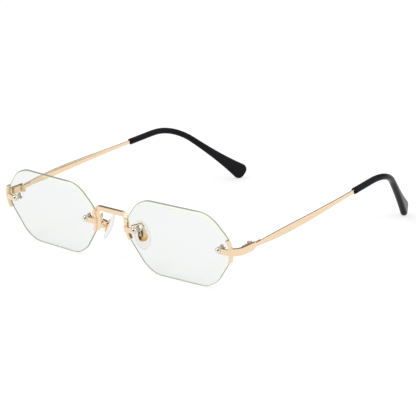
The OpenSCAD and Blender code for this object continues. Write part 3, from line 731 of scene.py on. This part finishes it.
# %% Bores of a lens
SCREW_INSET = 5.2  # distance of a screw from the nearest side point
SCREW_Z = 1.9
BORE_R = 1.01
DRILL_L = 12
screw_turn = math.degrees(math.asin((LENS_W / 2 - SCREW_INSET) / CURVE_R))


def screw_frame(end):
    """Frame of a lens screw: origin on the front of the lens, +Y into it. end is -1 at the nose."""
    return LENS @ shift((0, CURVE_R, SCREW_Z)) @ turn("Z", end * screw_turn) @ shift((0, -CURVE_R, 0))


for end in (-1, 1):
    bpy.ops.mesh.primitive_cylinder_add(vertices=48, radius=BORE_R * MM, depth=DRILL_L * MM)
    drill = bpy.context.object
    settle(drill, LENS.inverted() @ screw_frame(end) @ turn("X", 90))
    wear(drill, LENS_FACE)
    use(lens, "BOOLEAN", operation="DIFFERENCE", object=drill, solver="EXACT")
    bpy.data.objects.remove(drill)
smooth(lens, degrees=25)
make_pair(lens, "clear_lens_{}", LENS, "front", "lens_{}")

# %% [markdown]
# A temple is a flat wire that swells in its front half and runs into a black sleeve, which
# bends down behind the ear. It is easiest to make both straight, section by section, and then
# to bend them along one line, as the real wire is bent in a jig. Distances along the temple are
# measured in its side view.

# %% Sizes of a temple
TEMPLE_L = 95  # from the hinge to the middle of the bend
EAR_R = 31
EAR_DROP = 45.3
EAR_IN = 22
EAR_IN_FROM = 0.16  # share of the bend in front of the inward turn
EAR_IN_OVER = 0.66  # share of the bend that the inward turn takes
OUT_ANGLE = 2.7
IN_TURN = 6.5
IN_TURN_OVER = 0.7  # share of the open bar that turns back in
TIP_LEAD = 26.5  # length of the tip in front of the middle of the bend
PADDLE_L = 29.68
END_ROUND = 3.0
FOLD_GAP = 0.04  # half of the gap between the arm of the front and the bar
bend_l = EAR_R * math.radians(EAR_DROP)
flat_l = TEMPLE_L - bend_l / 2
tip_start = TEMPLE_L - TIP_LEAD
tip_end = flat_l + bend_l + PADDLE_L + END_ROUND
print("bend from", round(flat_l, 1), "mm, tip from", tip_start, "to", round(tip_end, 1), "mm")

# %% [markdown]
# Seen from the side the line runs straight back and then drops round the ear. Seen from above it
# runs outwards a little, turns back in, and turns in once more behind the ear. So it is walked
# in small steps, and each step knows its drop and its heading.

# %% Line of a temple
LINE_STEP = 0.5
LINE_SPARE = 2


def share(value, start, length):
    """How much of a stretch lies before a value, from 0 to 1."""
    return min(max((value - start) / length, 0), 1)


def temple_line():
    """Points along a temple, and the run along them at every step of the side view."""
    x = y = z = plan = 0
    points = [Vector((0, FOLD_GAP, 0)) * MM]
    runs = [0, LINE_STEP]
    for number in range(int((tip_end + LINE_SPARE) / LINE_STEP)):
        drop = math.radians(EAR_DROP) * share((number + 0.5) * LINE_STEP, flat_l, bend_l)
        heading = math.radians(
            OUT_ANGLE - IN_TURN * share(plan, 0, tip_start * IN_TURN_OVER)
            - EAR_IN * share(plan, flat_l + bend_l * EAR_IN_FROM, bend_l * EAR_IN_OVER))
        ahead = LINE_STEP * math.cos(drop)
        x += ahead * math.tan(heading)
        y += ahead
        z -= LINE_STEP * math.sin(drop)
        plan += ahead / math.cos(heading)
        points.append(Vector((x, y + FOLD_GAP, z)) * MM)
        # The first step is nearly straight, so its run is already there as seen from the side.
        if number:
            runs.append(runs[-1] + (points[-1] - points[-2]).length / MM)
    return points, runs


temple_points, temple_runs = temple_line()
print("temple line", len(temple_points), "points,", round(temple_runs[-1], 1), "mm")

# %% [markdown]
# The line becomes a curve, and a Curve modifier bends a straight piece along it. The modifier
# counts length along the curve, which is a little more than the distance in the side view, so
# each section is placed by its run.

# %% Guide for bending
def guide_curve(name, points):
    """A curve through points, along which straight pieces are bent."""
    data = bpy.data.curves.new(name, "CURVE")
    data.dimensions = "3D"
    data.twist_mode = "Z_UP"
    line = data.splines.new("POLY")
    line.points.add(len(points) - 1)
    for point, place in zip(line.points, points):
        point.co = (*place, 1)
    guide = bpy.data.objects.new(name, data)
    bpy.context.scene.collection.objects.link(guide)
    return guide


def bend_along(piece, guide):
    use(piece, "CURVE", object=guide, deform_axis="POS_X")


def run_at(distance):
    """Run along the temple's line at a distance measured in its side view."""
    number = min(int(distance / LINE_STEP), len(temple_runs) - 2)
    part = distance / LINE_STEP - number
    return temple_runs[number] + (temple_runs[number + 1] - temple_runs[number]) * part


temple_guide = guide_curve("temple guide", temple_points)
print("the tip ends at a run of", round(run_at(tip_end), 1), "mm")

# %% [markdown]
# Bar and tip are made by the same steps. A small square is stretched to the first section, its
# corners are rounded, and it is then extruded from section to section. Thickness is scaled.
# Height is changed by moving the upper and the lower half apart, so that the corners stay round.

# %% Straight bars with rounded edges
def spread(run, rise):
    """Moves the upper half of the end section up and the lower half down."""
    def at_end(vertex):
        return abs(vertex.co.x - run * MM) < TINY

    bpy.ops.mesh.select_mode(type="VERT")
    pick(lambda vertex: at_end(vertex) and vertex.co.z > 0)
    move(0, 0, rise)
    pick(lambda vertex: at_end(vertex) and vertex.co.z < 0)
    move(0, 0, -rise)
    bpy.ops.mesh.select_mode(type="FACE")
    pick(lambda face: all(at_end(vertex) for vertex in face.verts), "faces")


def straight_bar(name, sections, corner, rounds=4):
    """A bar along +X with rounded edges. Each section is (run, thickness, height)."""
    run, thick, high = sections[0]
    bpy.ops.mesh.primitive_plane_add(size=MM, location=(run * MM, 0, 0), rotation=(0, math.pi / 2, 0))
    bar = bpy.context.object
    bar.name = name
    alone(bar)
    bpy.ops.object.transform_apply(location=True, rotation=True, scale=True)
    open_mesh(bar)
    bpy.ops.mesh.select_all(action="SELECT")
    bpy.ops.transform.resize(value=(1, thick, high))
    bpy.ops.mesh.bevel(offset=corner * MM, segments=rounds, affect="VERTICES")
    bpy.ops.mesh.select_mode(type="FACE")
    bpy.ops.mesh.select_all(action="SELECT")
    for next_run, next_thick, next_high in sections[1:]:
        extrude(next_run - run, 0, 0)
        if abs(next_thick - thick) > TINY:
            bpy.ops.transform.resize(value=(1, next_thick / thick, 1))
        rise = (next_high - high) / 2
        if abs(rise) > TINY:
            spread(next_run, rise)
        run, thick, high = next_run, next_thick, next_high
    close_mesh()
    outward(bar)
    return bar


print("helpers for bars ready")

# %% [markdown]
# The bar is slender where it leaves the hinge, swells to its greatest height within its first
# third, and tapers again towards the tip. It ends a little way inside the tip, whose mouth
# hides the end. Its front end is broken by a small chamfer.

# %% Temple bars
BAR_T = 1.0
BAR_H = 3.0
BAR_FRONT_H = 1.3
BAR_REAR_H = 1.5
BAR_CORNER = 0.22
WIDEST_AT = 0.3  # share of the open bar in front of its greatest height
BAR_START = 0.02
BAR_CHAMFER = 0.1
SECTION_STEP = 3
INSIDE_TIP = 1.5


def ease(part):
    """Goes from 0 to 1 with a soft start and a soft end."""
    return part * part * (3 - 2 * part)


def bar_height(distance):
    """Height of the bar at a distance along it."""
    widest = tip_start * WIDEST_AT
    if distance < widest:
        return BAR_FRONT_H + (BAR_H - BAR_FRONT_H) * math.sin(math.pi / 2 * distance / widest)
    return BAR_REAR_H + (BAR_H - BAR_REAR_H) * (1 - ease(share(distance, widest, tip_start - widest)))


bar_places = [BAR_START, BAR_START + BAR_CHAMFER, 1, 2, *range(4, int(tip_start), SECTION_STEP)]
bar_places += [tip_start + INSIDE_TIP]
bar_sections = [(run_at(place), BAR_T, bar_height(place)) for place in bar_places]
run, thick, high = bar_sections[0]
bar_sections[0] = (run, thick - 2 * BAR_CHAMFER, high - 2 * BAR_CHAMFER)
bar = straight_bar("temple bar", bar_sections, BAR_CORNER)
bend_along(bar, temple_guide)
wear(bar, ROSE_GOLD)
smooth(bar)
make_pair(bar, "gold_temple_{}", TEMPLE, "temple_{}", "temple_bar_{}")

# %% [markdown]
# The tip is a nearly round sleeve that widens late, into a flat paddle behind the ear. Its end
# is half of an oval that lies between an ellipse and a box, so the last sections stand closer
# and closer together to catch its curve.

# %% Black temple tips
TIP_H = 2.8
TIP_T = 3.0
PADDLE_H = 7.6
TIP_CORNER = 1.3
END_POWER = 2.4
FLARE_POWER = 3
BLUNT = 0.002  # keeps the last section from closing to a line
MOUTH_L = 0.2
MOUTH_LESS = 0.3  # how much smaller the mouth is than the sleeve
TIP_STEP = 2.6
TIP_STEPS = 26
END_PLACES = (4.5, 3, 2.3, 1.8, 1.3, 0.95, 0.7, 0.48, 0.3, 0.16, 0.06, 0.015)  # from the end


def tip_height(distance):
    """Height of the tip at a distance along the temple."""
    body_end = tip_end - END_ROUND
    if distance > body_end:
        left = max(1 - ((distance - body_end) / END_ROUND) ** END_POWER, BLUNT)
        return PADDLE_H * left ** (1 / END_POWER)
    swell = share(distance, flat_l + bend_l / 2, PADDLE_L + bend_l / 2)
    return TIP_H + (PADDLE_H - TIP_H) * swell ** FLARE_POWER


def tip_thickness(distance):
    """Thickness of the tip, drawn in along its rounded end."""
    from_end = tip_end - distance
    if from_end < TIP_CORNER:
        return TIP_T - 2 * (TIP_CORNER - math.sqrt(TIP_CORNER ** 2 - (TIP_CORNER - from_end) ** 2))
    return TIP_T


tip_places = [tip_start + MOUTH_L + TIP_STEP * number for number in range(TIP_STEPS)]
tip_places += [tip_end - back for back in END_PLACES]
tip_sections = [(run_at(tip_start), TIP_T - MOUTH_LESS, TIP_H - MOUTH_LESS)]
tip_sections += [(run_at(place), tip_thickness(place), tip_height(place)) for place in tip_places]
sleeve = straight_bar("temple tip", tip_sections, TIP_CORNER, rounds=6)
bend_along(sleeve, temple_guide)
wear(sleeve, TIP_BLACK)
smooth(sleeve, degrees=40)
make_pair(sleeve, "black_tip_{}", TEMPLE, "temple_{}", "temple_tip_{}")
bpy.data.objects.remove(temple_guide)

# %% [markdown]
# A nose pad is a drop of clear silicone. A ball is drawn out to an egg, flatter at the back,
# where its metal plate lies, than at the front, which rests on the nose.

# %% Nose pads
PAD_L = 13
PAD_W = 7
PAD_FRONT = 1.5
PAD_BACK = 0.8
TAPER = 0.08  # share by which the top is narrower and the bottom wider than an even oval

bpy.ops.mesh.primitive_uv_sphere_add(segments=64, ring_count=40, radius=MM)
pad = bpy.context.object
open_mesh(pad)
bpy.ops.mesh.select_all(action="SELECT")
bpy.ops.transform.resize(value=(PAD_BACK, PAD_W / 2, PAD_L / 2))
pick(lambda vertex: vertex.co.x < -TINY)
bpy.ops.transform.resize(value=(PAD_FRONT / PAD_BACK, 1, 1), center_override=(0, 0, 0))
bpy.ops.mesh.select_all(action="SELECT")
move(-PAD_BACK, 0, 0)
close_mesh()
for vertex in pad.data.vertices:
    vertex.co.y *= 1 - TAPER * vertex.co.z / (PAD_L / 2 * MM)
wear(pad, SILICONE)
smooth(pad, degrees=60)
make_pair(pad, "clear_pad_{}", PAD, "nose_pad_{}", "nose_pad_{}")

# %% [markdown]
# The small machined pieces have the right shape already, but their edges are as sharp as a
# drawing. A real edge is broken by polishing, and that thin bevel is what catches the light. A
# copy of each is joined up, cleaned of its triangles and bevelled where it stands.

# %% Small metal and clear pieces with broken edges
WELD = 2e-6  # metres between corners of neighbouring triangles that are joined up
NEARLY_FLAT = 1.5  # degrees between triangles that become one face
EDGE_ANGLE = 30  # degrees from which an edge counts as sharp


def soften(node, width, slot, body="front"):
    """A copy of a node with its edges broken by a small bevel."""
    mesh = frame["nodes"][node].data.copy()
    piece = bpy.data.objects.new(node + "_soft", mesh)
    bpy.context.scene.collection.objects.link(piece)
    open_mesh(piece)
    bpy.ops.mesh.select_all(action="SELECT")
    bpy.ops.mesh.remove_doubles(threshold=WELD)
    bpy.ops.mesh.dissolve_limited(angle_limit=math.radians(NEARLY_FLAT))
    close_mesh()
    use(piece, "BEVEL", width=width * MM, segments=3, limit_method="ANGLE",
        angle_limit=math.radians(EDGE_ANGLE), use_clamp_overlap=True)
    smooth(piece, degrees=35)
    wear(piece, FINISH[slot])
    belongs(piece, body, node)


for node, width, slot in (
        ("bridge_bar", 0.25, "rose_gold"), ("lens_screws", 0.05, "silver"),
        ("lens_bushes", 0.03, "bush_clear"), ("front_washers", 0.04, "bush_clear"),
        ("rear_washers", 0.04, "bush_clear"), ("cap_nuts", 0.06, "silver"),
        ("pad_screws", 0.04, "silver"), ("leaf_rivets", 0.03, "silver")):
    soften(node, width, slot)
for side in SIDES:
    for node, width, slot in (
            ("nose_bracket_", 0.18, "rose_gold"), ("end_piece_", 0.15, "rose_gold"),
            ("pad_box_", 0.1, "rose_gold"), ("hinge_leaf_", 0.06, "rose_gold"),
            ("hinge_screw_", 0.04, "rose_gold"), ("pad_arm_", 0.02, "rose_gold")):
        soften(node + side, width, slot)
    soften("hinge_tongue_" + side, 0.05, "rose_gold", "temple_" + side)
    soften("pad_plate_" + side, 0.08, "yellow_gold", "nose_pad_" + side)
